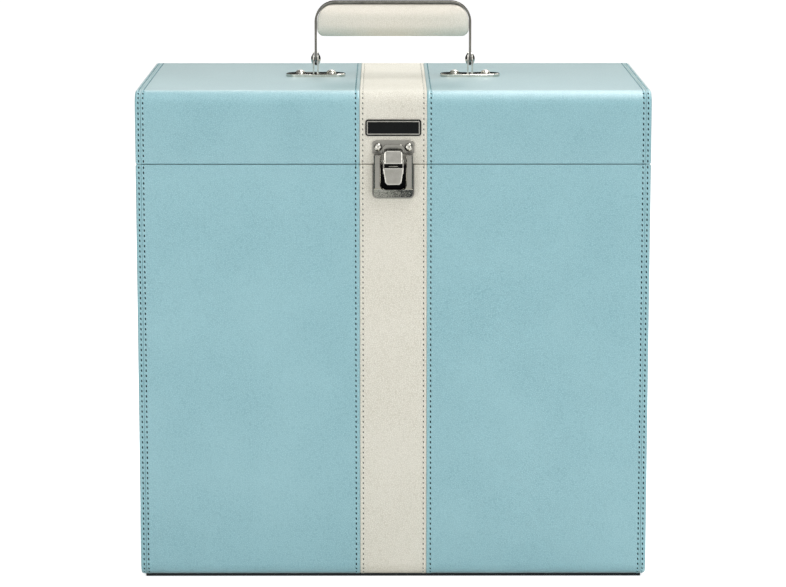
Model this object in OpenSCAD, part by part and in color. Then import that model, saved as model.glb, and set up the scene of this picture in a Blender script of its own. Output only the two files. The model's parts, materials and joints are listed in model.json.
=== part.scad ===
// Record carrying case: a covered board box with a hinged lid, a draw latch and a swing handle.
// Millimetres. Z up, the floor at z = 0, the front of the case towards -Y.

/* [Case] */
// Width of the closed case
case_w = 360; // [330:1:420]
// Depth of the closed case, front to back
case_d = 220; // [160:1:300]
// Height of the covered body, from the base panel to the lid line
body_h = 296; // [270:1:340]
// Height of the lid above the lid line
lid_h = 51; // [40:1:90]
// Radius of the long front and back edges
edge_r = 10; // [6:0.5:14]
// Thickness of the boards
board_t = 9; // [6:0.5:12]
// Thickness of the covering
skin_t = 1; // [0.6:0.1:1.5]
// Thickness of the lining
lining_t = 1; // [0.5:0.1:2]
// Gap between the two rims when shut
rim_gap = 0.4; // [0.3:0.1:1]
// Depth that the covering is turned in past the rims
turn_in = 12; // [8:1:20]
// Width of the side covering where it wraps onto the front
wrap_w = 4; // [3:0.5:6]
// Width of the centre band
band_w = 47; // [40:1:80]
// Thickness of the base panel
base_t = 2; // [1.5:0.5:5]
// How far the base panel stands in from the sides
base_inset = 3; // [2:1:20]

/* [Nameplate] */
// Length of the nameplate
name_w = 39; // [30:1:44]
// Height of the nameplate
name_h = 11.6; // [9:0.2:16]
// Thickness of the nameplate
name_t = 0.9; // [0.6:0.1:1.5]
// Distance from the top of the lid to the middle of the nameplate
name_drop = 25.3; // [20:0.1:40]

/* [Latch] */
// Thickness of the latch sheet metal
latch_t = 1; // [0.8:0.1:1.2]
// Width of the latch base
latch_w = 29.4; // [27:0.2:34]
// Height of the flap faces over the covering
face_s = 6.6; // [6:0.1:8]
// Width of the latch opening
mouth_w = 17.4; // [16:0.2:18]
// Width of the claw face
claw_w = 12.4; // [12:0.2:12.8]
// Height of the claw above the lid line
claw_rise = 10.2; // [9:0.1:12]
// How far the lever tab reaches below the lid line
tab_drop = 13.6; // [12:0.1:16]
// How far the latch base reaches below the lid line
base_drop = 24.1; // [22:0.1:30]
// How far the latch base reaches above the lid line
base_rise = 7.3; // [6.5:0.1:7.4]
// How far the keeper plate reaches above the lid line
keeper_rise = 17; // [15:0.5:20]
// Height of the keeper's rivets above the lid line
keeper_rivet_rise = 12.1; // [11:0.1:14]
// Distance from the middle of the latch to each keeper rivet
keeper_rivet_x = 10.7; // [9:0.1:12]
// How far the mouth of the latch base reaches below the lid line
mouth_drop = 17.2; // [15:0.1:20]
// Height of the bead pressed round the claw
bead_h = 0.4; // [0.2:0.1:0.5]
// Slope of the foot of the latch base, from upright
foot_slope = 40; // [30:1:50]
// Half width of the keeper's lip
lip_w = 4.3; // [4:0.1:4.5]
// Distance between the lever pivot and the claw pivot
throw = 3.95; // [3.9:0.05:4.1]
// Clearance round each turning pin
pin_fit = 0.05; // [0.02:0.01:0.08]

/* [Handle] */
// Distance between the two handle pivots
grip_pitch = 112.4; // [100:0.1:140]
// Height of the pivots above the lid
pivot_h = 12.4; // [12:0.1:16]
// Height of the strap above the pivots
strap_rise = 42.5; // [36:0.5:50]
// Width of the strap
strap_w = 9; // [8:0.5:12]
// Thickness of the strap
strap_t = 1.6; // [1.2:0.1:2]
// Outer radius of the strap's bends
strap_r = 15; // [12:0.5:20]
// Thickness of the grip, front to back
grip_t = 17; // [14:0.5:20]
// Height of the grip
grip_h = 24; // [20:0.5:26]
// Length of a bracket plate
bracket_l = 43.4; // [40:0.1:50]
// Depth of a bracket plate
bracket_d = 18; // [16:0.5:22]
// Distance between the rivets of a bracket
rivet_pitch = 22.6; // [20:0.1:26]
// Thickness of a bracket plate
bracket_t = 2.2; // [1.5:0.1:3]
// Radius of a bracket rivet's head
rivet_r = 4; // [3:0.1:5]
// Height of a bracket rivet's head
rivet_h = 2.6; // [1.5:0.1:3]
// Radius of a pivot pin's head
pin_head_r = 3.9; // [3:0.1:4.5]
// Height of a pivot pin's head
pin_head_h = 1.5; // [1:0.1:2]
// Radius of the bracket ears
ear_r = 5.5; // [5:0.1:6.5]
// Radius of the grip's lower corners
grip_r = 3; // [2:0.5:7]

/* [Hinges] */
// Distance from each side of the case to the middle of its hinge
hinge_inset = 70; // [50:1:90]
// Length of each hinge
hinge_l = 42; // [30:1:60]
// Height of each hinge leaf beyond the barrel
leaf_h = 20; // [15:1:26]
// Thickness of the hinge leaves
leaf_t = 1.2; // [1:0.1:2]
// Radius of the hinge barrel
barrel_r = 2.5; // [2:0.1:3]
// Radius of the hinge pin
hinge_pin_r = 1.2; // [1:0.1:1.4]

/* [Hidden] */
$fn = 48;
eps = 0.01;
half_w = case_w / 2;
half_d = case_d / 2;
split_z = base_t + body_h;
top_z = split_z + lid_h;
body_rim = split_z - rim_gap / 2;
lid_rim = split_z + rim_gap / 2;
out_w = half_w - skin_t;
out_d = half_d - skin_t;
in_w = out_w - board_t;
in_d = out_d - board_t;
roof_z = top_z - skin_t - board_t;
floor_z = base_t + skin_t + board_t;
seam_w = half_w - wrap_w;
half_band = band_w / 2;
half_mouth = mouth_w / 2;
half_claw = claw_w / 2;
claw_s = face_s - latch_t;
claw_pivot_z = split_z - 0.85;
lever_pivot_z = claw_pivot_z + throw;
claw_pin_r = 0.45;
lever_pin_r = 0.6;
cheek_x = half_claw + 0.2;
cheek_t = 0.8;
flap_gap = 2.1;
claw_bottom = split_z + 0.2;
tab_top = claw_bottom - flap_gap;
claw_top = split_z + claw_rise;
hook_s = 2;
hook_t = 0.8;
lip_s = hook_s + hook_t + 1.4;
lip_top = claw_top - latch_t - 0.2;
shelf_z = lip_top - 2.4;
keeper_z = split_z + base_rise + 0.5;
keeper_top = split_z + keeper_rise;
keeper_rivet_z = split_z + keeper_rivet_rise;
mouth_z = split_z - mouth_drop;
arm_s = face_s + 0.2;
pivot_z = top_z + pivot_h;
ear_t = 1;
ear_gap = strap_t + 0.6;
handle_pin_r = 1.4;
half_pitch = grip_pitch / 2;
grip_top = pivot_z + strap_rise - strap_t - 0.25;
grip_end = half_pitch - strap_t / 2 - 0.25;
hinge_x = half_w - hinge_inset;
hinge_y = half_d + barrel_r + 0.2;
knuckle_gap = 0.3;
knuckle_l = (hinge_l - 2 * knuckle_gap) / 3;

// ---- helpers ----

// A (y, z) outline drawn out from x0 to x1
module along_x(x0, x1)
{
    translate([x0, 0, 0])
        rotate([90, 0, 90])
            linear_extrude(x1 - x0)
                children();
}

// An (x, z) outline standing on the front face, from s0 to s1 in front of it
module on_front(s0, s1)
{
    translate([0, -half_d - s0, 0])
        rotate([90, 0, 0])
            linear_extrude(s1 - s0)
                children();
}

// A box on the front face: x0 to x1, s0 to s1 in front of it, z0 to z1
module front_box(x0, x1, s0, s1, z0, z1)
{
    translate([x0, -half_d - s1, z0])
        cube([x1 - x0, s1 - s0, z1 - z0]);
}

// A pin along X at y, z
module pin_x(x0, x1, y, z, r)
{
    translate([x0, y, z])
        rotate([0, 90, 0])
            cylinder(h = x1 - x0, r = r);
}

// Both sides of the middle plane
module both_sides()
{
    children();
    mirror([1, 0, 0])
        children();
}

// Lid outline inside the outer surface by inset, open at z0
module lid_section(inset, z0)
{
    r = edge_r - inset;
    y = half_d - inset;
    z1 = top_z - inset;
    translate([-y, z0])
        square([2 * y, z1 - r - z0]);
    translate([r - y, z0])
        square([2 * (y - r), z1 - z0]);
    for (s = [-1, 1])
        translate([s * (y - r), z1 - r])
            circle(r);
}

// Body outline inside the outer surface by inset, open at z1
module body_section(inset, z1)
{
    r = edge_r - inset;
    y = half_d - inset;
    z0 = base_t + inset;
    translate([-y, z0 + r])
        square([2 * y, z1 - r - z0]);
    translate([r - y, z0])
        square([2 * (y - r), z1 - z0]);
    for (s = [-1, 1])
        translate([s * (y - r), z0 + r])
            circle(r);
}

// Covering round the lid from x0 to x1, turned in under the rims from x2 to x3
module lid_wrap(x0, x1, x2, x3)
{
    along_x(x0, x1)
        difference()
        {
            lid_section(0, lid_rim);
            translate([-out_d, lid_rim - 1])
                square([2 * out_d, 1.5]);
            lid_section(skin_t, lid_rim);
        }
    for (s = [0, 1])
        mirror([0, s, 0])
            along_x(x2, x3)
            {
                translate([in_d - skin_t, lid_rim])
                    square([board_t + skin_t, skin_t]);
                translate([in_d - skin_t, lid_rim])
                    square([skin_t, turn_in]);
            }
}

// Covering round the body from x0 to x1, turned in over the rims from x2 to x3
module body_wrap(x0, x1, x2, x3)
{
    along_x(x0, x1)
        difference()
        {
            body_section(0, body_rim);
            body_section(skin_t, body_rim + 1);
        }
    for (s = [0, 1])
        mirror([0, s, 0])
            along_x(x2, x3)
            {
                translate([in_d - skin_t, body_rim - skin_t])
                    square([board_t + skin_t, skin_t]);
                translate([in_d - skin_t, body_rim - turn_in])
                    square([skin_t, turn_in]);
            }
}

// A domed rivet head of radius r and height h, its foot at the origin, facing +Z
module dome(r, h)
{
    big = (r * r + h * h) / (2 * h);
    intersection()
    {
        translate([0, 0, h - big])
            sphere(big);
        cylinder(h = h + 1, r = r + 1);
    }
}

// ---- body boards ----

module body_front_board()
{
    color("BurlyWood")
        translate([-in_w, -out_d, floor_z])
            cube([2 * in_w, board_t, body_rim - skin_t - floor_z]);
}

module body_back_board()
{
    color("BurlyWood")
        mirror([0, 1, 0])
            translate([-in_w, -out_d, floor_z])
                cube([2 * in_w, board_t, body_rim - skin_t - floor_z]);
}

module body_left_board()
{
    color("BurlyWood")
        along_x(-out_w, -in_w)
            body_section(skin_t, body_rim - skin_t);
}

module body_right_board()
{
    color("BurlyWood")
        along_x(in_w, out_w)
            body_section(skin_t, body_rim - skin_t);
}

module body_bottom_board()
{
    color("BurlyWood")
        along_x(-in_w, in_w)
            intersection()
            {
                body_section(skin_t, body_rim);
                translate([-half_d, base_t])
                    square([2 * half_d, floor_z - base_t]);
            }
}

// ---- body coverings ----

module body_cover_left()
{
    color("#96c2c9")
        body_wrap(-seam_w, -half_band, -in_w + skin_t, -half_band);
}

module body_cover_right()
{
    color("#96c2c9")
        body_wrap(half_band, seam_w, half_band, in_w - skin_t);
}

module body_centre_band()
{
    color("#dedbcf")
        body_wrap(-half_band, half_band, -half_band, half_band);
}

// The side sheet of the body, wrapped round its edges
module body_side_sheet()
{
    along_x(out_w, half_w)
        body_section(0, body_rim);
    along_x(seam_w, out_w)
        difference()
        {
            body_section(0, body_rim);
            body_section(skin_t, body_rim + 1);
        }
    translate([in_w - skin_t, -out_d, body_rim - skin_t])
        cube([board_t + skin_t, 2 * out_d, skin_t]);
    translate([in_w - skin_t, -in_d, body_rim - turn_in])
        cube([skin_t, 2 * in_d, turn_in]);
}

module body_side_cover_left()
{
    color("#96c2c9")
        mirror([1, 0, 0])
            body_side_sheet();
}

module body_side_cover_right()
{
    color("#96c2c9")
        body_side_sheet();
}

module body_lining()
{
    color("#1b1b1d")
        difference()
        {
            translate([-in_w, -in_d, floor_z])
                cube([2 * in_w, 2 * in_d, body_rim - turn_in - floor_z]);
            translate([lining_t - in_w, lining_t - in_d, floor_z + lining_t])
                cube([2 * (in_w - lining_t), 2 * (in_d - lining_t), body_h]);
        }
}

module base_panel()
{
    color("#23262a")
        translate([base_inset - half_w, edge_r - 2 - half_d, 0])
            cube([2 * (half_w - base_inset), 2 * (half_d - edge_r + 2), base_t]);
}

// ---- lid boards ----

module lid_top_board()
{
    color("BurlyWood")
        along_x(-in_w, in_w)
            intersection()
            {
                lid_section(skin_t, lid_rim);
                translate([-half_d, roof_z])
                    square([2 * half_d, top_z - roof_z]);
            }
}

module lid_front_board()
{
    color("BurlyWood")
        translate([-in_w, -out_d, lid_rim + skin_t])
            cube([2 * in_w, board_t, roof_z - lid_rim - skin_t]);
}

module lid_back_board()
{
    color("BurlyWood")
        translate([-in_w, in_d, lid_rim + skin_t])
            cube([2 * in_w, board_t, roof_z - lid_rim - skin_t]);
}

module lid_left_board()
{
    color("BurlyWood")
        along_x(-out_w, -in_w)
            lid_section(skin_t, lid_rim + skin_t);
}

module lid_right_board()
{
    color("BurlyWood")
        along_x(in_w, out_w)
            lid_section(skin_t, lid_rim + skin_t);
}

// ---- lid coverings ----

module lid_cover_left()
{
    color("#9ac4cb")
        lid_wrap(-seam_w, -half_band, -in_w + skin_t, -half_band);
}

module lid_cover_right()
{
    color("#9ac4cb")
        lid_wrap(half_band, seam_w, half_band, in_w - skin_t);
}

module lid_centre_band()
{
    color("#dedcd0")
        lid_wrap(-half_band, half_band, -half_band, half_band);
}

// The side sheet of the lid, wrapped round its edges
module lid_side_sheet()
{
    along_x(out_w, half_w)
        lid_section(0, lid_rim);
    along_x(seam_w, out_w)
        difference()
        {
            lid_section(0, lid_rim);
            translate([-out_d, lid_rim - 1])
                square([2 * out_d, 1.5]);
            lid_section(skin_t, lid_rim);
        }
    translate([in_w - skin_t, -out_d, lid_rim])
        cube([board_t + skin_t, 2 * out_d, skin_t]);
    translate([in_w - skin_t, -in_d, lid_rim])
        cube([skin_t, 2 * in_d, turn_in]);
}

module lid_side_cover_left()
{
    color("#9ac4cb")
        mirror([1, 0, 0])
            lid_side_sheet();
}

module lid_side_cover_right()
{
    color("#9ac4cb")
        lid_side_sheet();
}

module lid_lining()
{
    color("#1b1b1d")
        difference()
        {
            translate([-in_w, -in_d, lid_rim + turn_in])
                cube([2 * in_w, 2 * in_d, roof_z - lid_rim - turn_in]);
            translate([lining_t - in_w, lining_t - in_d, lid_rim])
                cube([2 * (in_w - lining_t), 2 * (in_d - lining_t), roof_z - lining_t - lid_rim]);
        }
}

// ---- nameplate ----

module plate_outline(w, h, r)
{
    square([w - 2 * r, h], center = true);
    square([w, h - 2 * r], center = true);
    for (x = [-1, 1])
        for (z = [-1, 1])
            translate([x * (w / 2 - r), z * (h / 2 - r)])
                circle(r);
}

module nameplate_frame()
{
    color("Silver")
        translate([0, 0, top_z - name_drop])
            difference()
            {
                on_front(0, name_t)
                    plate_outline(name_w, name_h, 2);
                on_front(name_t - 0.3, name_t + 1)
                    plate_outline(name_w - 1.6, name_h - 1.6, 1.4);
            }
}

module nameplate_field()
{
    color("#141516")
        translate([0, 0, top_z - name_drop])
            on_front(name_t - 0.3, name_t - 0.1)
                plate_outline(name_w - 1.6, name_h - 1.6, 1.4);
}

// ---- latch ----

// An upright outline with round upper corners, hw to each side, z0 to z1
module arch(hw, z0, z1, r)
{
    translate([-hw, z0])
        square([2 * hw, z1 - r - z0]);
    translate([r - hw, z0])
        square([2 * (hw - r), z1 - z0]);
    for (x = [-1, 1])
        translate([x * (hw - r), z1 - r])
            circle(r);
}

// Keeper plate on the lid, with an upturned lip for the claw and a bead round it
module latch_keeper()
{
    kw = latch_w / 2;
    kr = 3;
    bead_w = half_claw + 1.2;
    bead_top = claw_top + 3.8;
    color("Silver")
    {
        on_front(0, latch_t)
        {
            arch(kw, keeper_z, keeper_top, kr);
            translate([-lip_w, shelf_z])
                square([2 * lip_w, keeper_z - shelf_z + 1]);
        }
        front_box(-lip_w, lip_w, 0, lip_s + hook_t, shelf_z, shelf_z + 0.8);
        front_box(-lip_w, lip_w, lip_s, lip_s + hook_t, shelf_z, lip_top);
        on_front(latch_t - eps, latch_t + bead_h)
            difference()
            {
                arch(bead_w, keeper_z + 0.3, bead_top, 3);
                arch(bead_w - 0.9, keeper_z - 1, bead_top - 3, 1.7);
            }
    }
}

module latch_keeper_rivets()
{
    color("Silver")
        both_sides()
            translate([keeper_rivet_x, -half_d - latch_t, keeper_rivet_z])
                rotate([90, 0, 0])
                    dome(2.9, 1.6);
}

// Base on the body: a flanged frame with a U-shaped mouth
module latch_base()
{
    hw = latch_w / 2;
    br = 3.9;
    low = split_z - base_drop;
    high = split_z + base_rise;
    ridge = hw - 1.1;
    color("Silver")
        difference()
        {
            union()
            {
                on_front(0, latch_t)
                {
                    translate([-hw, low + br])
                        square([2 * hw, body_rim - low - br]);
                    translate([br - hw, low])
                        square([2 * (hw - br), br]);
                    for (x = [-1, 1])
                        translate([x * (hw - br), low + br])
                            circle(br);
                }
                on_front(latch_t - eps, arm_s)
                    difference()
                    {
                        mirror([0, 1])
                            arch(ridge, -high, -low - 1.1, 3);
                        translate([-half_mouth, mouth_z + 4])
                            square([mouth_w, high]);
                        translate([4 - half_mouth, mouth_z])
                            square([mouth_w - 8, 8]);
                        for (x = [-1, 1])
                            translate([x * (half_mouth - 4), mouth_z + 4])
                                circle(4);
                    }
            }
            translate([-hw, -half_d - arm_s, mouth_z + 0.5])
                rotate([foot_slope, 0, 0])
                    translate([0, -2 * arm_s, -base_drop])
                        cube([2 * hw, 2 * arm_s, base_drop]);
            pin_x(-ridge + 1, ridge - 1, -half_d - claw_s, lever_pivot_z, lever_pin_r);
        }
}

module latch_base_rivets()
{
    color("Silver")
        both_sides()
            translate([3.6, -half_d - latch_t, mouth_z + 6.2])
                rotate([90, 0, 0])
                    dome(2, 0.8);
}

// Stub pins that the lever turns on
module lever_pivot_pins()
{
    color("Silver")
        both_sides()
            pin_x(cheek_x, latch_w / 2 - 2.1, -half_d - claw_s, lever_pivot_z, lever_pin_r);
}

// Lever: the lower flap and its two cheeks
module latch_lever()
{
    low = split_z - tab_drop;
    color("Silver")
    {
        difference()
        {
            on_front(claw_s, face_s)
                polygon([
                    [-cheek_x - cheek_t, tab_top],
                    [cheek_x + cheek_t, tab_top],
                    [half_claw - 0.6, low + 1.6],
                    [half_claw - 2, low],
                    [2 - half_claw, low],
                    [0.6 - half_claw, low + 1.6]
                ]);
            front_box(-half_claw, half_claw, claw_s - 1, claw_s + 0.25, tab_top - 0.3, tab_top + 1);
        }
        both_sides()
            difference()
            {
                along_x(cheek_x, cheek_x + cheek_t)
                {
                    translate([-half_d - claw_s - 0.4, tab_top - 4])
                        square([1.7, lever_pivot_z - tab_top + 4]);
                    translate([-half_d - claw_s, lever_pivot_z])
                        circle(1.3);
                }
                pin_x(0, latch_w, -half_d - claw_s, lever_pivot_z, lever_pin_r + pin_fit);
                pin_x(0, latch_w, -half_d - claw_s, claw_pivot_z, claw_pin_r);
            }
    }
}

module claw_pin()
{
    color("Silver")
        pin_x(-cheek_x - cheek_t, cheek_x + cheek_t, -half_d - claw_s, claw_pivot_z, claw_pin_r);
}

// Claw: the upper flap, hooked over the keeper's lip
module latch_claw()
{
    cr = 2;
    knuckle_r = 0.85;
    color("Silver")
        difference()
        {
            union()
            {
                on_front(claw_s, face_s)
                {
                    translate([-half_claw, claw_bottom])
                        square([claw_w, claw_top - cr - claw_bottom]);
                    translate([cr - half_claw, claw_bottom])
                        square([claw_w - 2 * cr, claw_top - claw_bottom]);
                    for (x = [-1, 1])
                        translate([x * (half_claw - cr), claw_top - cr])
                            circle(cr);
                }
                front_box(cr - half_claw, half_claw - cr, hook_s, face_s, claw_top - latch_t, claw_top);
                front_box(-3.6, 3.6, hook_s, hook_s + hook_t, lip_top - 1, claw_top - latch_t + eps);
                both_sides()
                {
                    pin_x(3.2, half_claw, -half_d - claw_s, claw_pivot_z, knuckle_r);
                    front_box(3.2, half_claw, claw_s, face_s - 0.2, claw_pivot_z, claw_bottom + eps);
                }
            }
            pin_x(-claw_w, claw_w, -half_d - claw_s, claw_pivot_z, claw_pin_r + pin_fit);
        }
}

// ---- handle ----

// Bracket: a round-ended plate with two ears for the pivot pin
module bracket(cx)
{
    r = bracket_d / 2;
    translate([cx, 0, top_z])
    {
        linear_extrude(bracket_t)
        {
            square([bracket_l - 2 * r, bracket_d], center = true);
            for (s = [-1, 1])
                translate([s * (bracket_l / 2 - r), 0])
                    circle(r);
        }
        for (s = [0, 1])
            mirror([s, 0, 0])
                difference()
                {
                    along_x(ear_gap / 2, ear_gap / 2 + ear_t)
                    {
                        translate([-ear_r, bracket_t - eps])
                            square([2 * ear_r, pivot_h - bracket_t + eps]);
                        translate([0, pivot_h])
                            circle(ear_r);
                    }
                    pin_x(0, bracket_d, 0, pivot_h, handle_pin_r);
                }
    }
}

module handle_bracket_left()
{
    color("Silver")
        bracket(-half_pitch);
}

module handle_bracket_right()
{
    color("Silver")
        bracket(half_pitch);
}

module bracket_rivets()
{
    color("Silver")
        for (x = [-half_pitch, half_pitch])
            for (s = [-1, 1])
                translate([x + s * rivet_pitch / 2, 0, top_z + bracket_t])
                    dome(rivet_r, rivet_h);
}

// Pivot pins with a domed head at each end
module handle_pivot_pins()
{
    reach = ear_gap / 2 + ear_t;
    color("Silver")
        for (x = [-half_pitch, half_pitch])
        {
            pin_x(x - reach, x + reach, 0, pivot_z, handle_pin_r);
            for (s = [-1, 1])
                translate([x + s * reach, 0, pivot_z])
                    rotate([0, s * 90, 0])
                        dome(pin_head_r, pin_head_h);
        }
}

// Outline (x, z) of the strap's outside or inside
module strap_outline(inset)
{
    r = strap_r - inset;
    x = half_pitch + strap_t / 2 - inset;
    z1 = pivot_z + strap_rise - inset;
    translate([-x, pivot_z])
        square([2 * x, z1 - r - pivot_z]);
    translate([r - x, pivot_z])
        square([2 * (x - r), z1 - pivot_z]);
    for (s = [-1, 1])
        translate([s * (x - r), z1 - r])
            circle(r);
}

module handle_strap()
{
    color("Silver")
        difference()
        {
            union()
            {
                translate([0, strap_w / 2, 0])
                    rotate([90, 0, 0])
                        linear_extrude(strap_w)
                            difference()
                            {
                                strap_outline(0);
                                strap_outline(strap_t);
                                translate([strap_t / 2 - half_pitch, pivot_z - strap_w])
                                    square([2 * half_pitch - strap_t, 2 * strap_w]);
                            }
                for (s = [-1, 1])
                    pin_x(s * half_pitch - strap_t / 2, s * half_pitch + strap_t / 2, 0, pivot_z, strap_w / 2);
            }
            for (s = [-1, 1])
                pin_x(s * half_pitch - 2, s * half_pitch + 2, 0, pivot_z, handle_pin_r + pin_fit);
        }
}

// Grip: a padded block that fills the strap
module handle_grip()
{
    er = strap_r - strap_t;
    low = grip_top - grip_h;
    lr = grip_r;
    color("#e1dfd2")
        intersection()
        {
            translate([0, grip_t / 2, 0])
                rotate([90, 0, 0])
                    linear_extrude(grip_t)
                    {
                        translate([er - grip_end, low + lr])
                            square([2 * (grip_end - er), grip_h - lr]);
                        translate([-grip_end, low + lr])
                            square([2 * grip_end, grip_h - lr - er]);
                        translate([lr + 1.5 - grip_end, low])
                            square([2 * (grip_end - lr - 1.5), lr + eps]);
                        for (s = [-1, 1])
                        {
                            translate([s * (grip_end - er), grip_top - er])
                                circle(er);
                            translate([s * (grip_end - lr - 1.5), low + lr])
                                circle(lr);
                        }
                    }
            along_x(-grip_end - 1, grip_end + 1)
                translate([0, low + grip_h / 2])
                    plate_outline(grip_t, grip_h, 7);
        }
}

// ---- hinges ----

// Leaf outline with its top edge at the lid line, cut clear of the other leaf's knuckles
module leaf(up)
{
    reach = barrel_r + 0.5;
    mirror([0, 0, up ? 0 : 1])
    {
        translate([-hinge_l / 2, half_d, reach])
            cube([hinge_l, leaf_t, leaf_h]);
    }
}

// Knuckles and webs of one leaf, x0 to x1 from the middle of the hinge
module knuckle(x0, x1, up)
{
    mirror([0, 0, up ? 0 : 1])
        translate([x0, half_d, 0])
            cube([x1 - x0, leaf_t, barrel_r + 1]);
    pin_x(x0, x1, hinge_y, 0, barrel_r);
}

module body_leaf(cx)
{
    color("Silver")
        translate([cx, 0, split_z])
            difference()
            {
                union()
                {
                    leaf(false);
                    both_sides()
                        knuckle(knuckle_l / 2 + knuckle_gap, hinge_l / 2, false);
                }
                pin_x(-hinge_l, hinge_l, hinge_y, 0, hinge_pin_r);
            }
}

module lid_leaf(cx)
{
    color("Silver")
        translate([cx, 0, split_z])
            difference()
            {
                union()
                {
                    leaf(true);
                    knuckle(-knuckle_l / 2, knuckle_l / 2, true);
                }
                pin_x(-hinge_l, hinge_l, hinge_y, 0, hinge_pin_r + pin_fit);
            }
}

module hinge_left_body_leaf()
{
    body_leaf(-hinge_x);
}

module hinge_right_body_leaf()
{
    body_leaf(hinge_x);
}

module hinge_left_lid_leaf()
{
    lid_leaf(-hinge_x);
}

module hinge_right_lid_leaf()
{
    lid_leaf(hinge_x);
}

module hinge_pins()
{
    color("Silver")
        for (x = [-hinge_x, hinge_x])
            pin_x(x - hinge_l / 2, x + hinge_l / 2, hinge_y, split_z, hinge_pin_r);
}

// Rivet heads of both hinges, on the leaves above or below the lid line
module leaf_rivets(s)
{
    for (x = [-hinge_x, hinge_x])
        for (i = [-1, 0, 1])
            translate([x + i * hinge_l * 0.33, half_d + leaf_t, split_z + s * (barrel_r + leaf_h * 0.6)])
                rotate([-90, 0, 0])
                    dome(2.6, 1.1);
}

module hinge_body_rivets()
{
    color("Silver")
        leaf_rivets(-1);
}

module hinge_lid_rivets()
{
    color("Silver")
        leaf_rivets(1);
}

// ---- the object ----

body_front_board();
body_back_board();
body_left_board();
body_right_board();
body_bottom_board();
body_cover_left();
body_cover_right();
body_centre_band();
body_side_cover_left();
body_side_cover_right();
body_lining();
base_panel();
lid_top_board();
lid_front_board();
lid_back_board();
lid_left_board();
lid_right_board();
lid_cover_left();
lid_cover_right();
lid_centre_band();
lid_side_cover_left();
lid_side_cover_right();
lid_lining();
nameplate_frame();
nameplate_field();
latch_keeper();
latch_keeper_rivets();
latch_base();
latch_base_rivets();
lever_pivot_pins();
latch_lever();
claw_pin();
latch_claw();
handle_bracket_left();
handle_bracket_right();
bracket_rivets();
handle_pivot_pins();
handle_strap();
handle_grip();
hinge_left_body_leaf();
hinge_right_body_leaf();
hinge_left_lid_leaf();
hinge_right_lid_leaf();
hinge_pins();
hinge_body_rivets();
hinge_lid_rivets();
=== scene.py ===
# %% [markdown]
# # A record carrying case
# The case is a box of board, covered in leatherette, with a hinged lid, a draw latch and a
# swing handle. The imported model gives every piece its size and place. This notebook gives each
# piece its finish, and it starts by loading that model as a fixed frame.

# %% The frame
import json
import math
import random

import bmesh
import bpy
from mathutils import Matrix, Vector

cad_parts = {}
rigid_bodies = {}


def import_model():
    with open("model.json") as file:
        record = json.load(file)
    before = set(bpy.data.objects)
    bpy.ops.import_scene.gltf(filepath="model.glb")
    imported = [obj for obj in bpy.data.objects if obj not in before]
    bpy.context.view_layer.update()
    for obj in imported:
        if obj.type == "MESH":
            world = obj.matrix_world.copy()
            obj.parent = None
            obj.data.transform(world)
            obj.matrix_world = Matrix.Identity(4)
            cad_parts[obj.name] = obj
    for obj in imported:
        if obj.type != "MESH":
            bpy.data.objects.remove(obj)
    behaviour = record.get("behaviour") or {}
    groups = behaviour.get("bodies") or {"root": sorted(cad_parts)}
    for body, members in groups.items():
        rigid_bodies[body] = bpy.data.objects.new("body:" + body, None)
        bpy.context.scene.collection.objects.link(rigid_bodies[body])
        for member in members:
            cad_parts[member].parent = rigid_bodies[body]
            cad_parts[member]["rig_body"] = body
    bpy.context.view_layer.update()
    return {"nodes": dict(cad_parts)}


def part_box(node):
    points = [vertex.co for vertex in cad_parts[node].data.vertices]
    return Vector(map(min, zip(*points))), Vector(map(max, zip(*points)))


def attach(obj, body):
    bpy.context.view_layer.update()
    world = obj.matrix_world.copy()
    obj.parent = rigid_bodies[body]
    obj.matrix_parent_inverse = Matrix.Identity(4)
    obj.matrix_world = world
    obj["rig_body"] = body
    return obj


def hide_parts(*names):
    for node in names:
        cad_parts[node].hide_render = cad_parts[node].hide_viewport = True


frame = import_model()
nodes = frame["nodes"]
MM = 0.001

# %% [markdown]
# ## The camera
# The photograph is taken from in front, a little above the lid. Its verticals stay parallel,
# which needs a shifted lens. A shift would push the case out of every other view, so this
# camera keeps its shift at zero and shares the small difference out over the picture.

# %% Camera
CAMERA_PLACE = Vector((-5.85, -2260.9, 571.5)) * MM
CAMERA_PITCH = math.radians(9.629)
CAMERA_YAW = math.radians(0.15)
CAMERA_LENS = 142.18
CAMERA_SENSOR = 36
CAMERA_REACH = 50


def placed(name, data):
    """An object of that data, linked to the scene."""
    thing = bpy.data.objects.new(name, data)
    bpy.context.scene.collection.objects.link(thing)
    return thing


camera_data = bpy.data.cameras.new("camera")
camera_data.lens = CAMERA_LENS
camera_data.sensor_width = CAMERA_SENSOR
camera_data.clip_end = CAMERA_REACH
camera = placed("camera", camera_data)
camera.location = CAMERA_PLACE
camera.rotation_euler = (math.pi / 2 - CAMERA_PITCH, 0, -CAMERA_YAW)
bpy.context.scene.camera = camera
print("camera at", [round(c, 3) for c in CAMERA_PLACE], "lens", CAMERA_LENS)

# %% [markdown]
# ## Colour and node helpers
# Colours are written as the sRGB hex values that a picture shows, and Blender works in linear
# light, so one function turns the one into the other. A second small function adds a node,
# sets it and links it, which keeps each material to a few readable lines.

# %% Helpers for materials
def linear(hex_colour):
    """An sRGB hex colour as linear RGBA."""
    channels = [int(hex_colour[i:i + 2], 16) / 255 for i in (1, 3, 5)]
    out = [c / 12.92 if c <= 0.04045 else ((c + 0.055) / 1.055) ** 2.4 for c in channels]
    return (*out, 1.0)


def add(tree, kind, settings=None, inputs=None):
    """A new node of that kind, with its settings made and its inputs set or linked."""
    node = tree.nodes.new(kind)
    for name, value in (settings or {}).items():
        setattr(node, name, value)
    for name, value in (inputs or {}).items():
        if isinstance(value, bpy.types.NodeSocket):
            tree.links.new(value, node.inputs[name])
        else:
            node.inputs[name].default_value = value
    return node


def principled(material):
    """The material's shader node."""
    return next(n for n in material.node_tree.nodes if n.type == "BSDF_PRINCIPLED")


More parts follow.
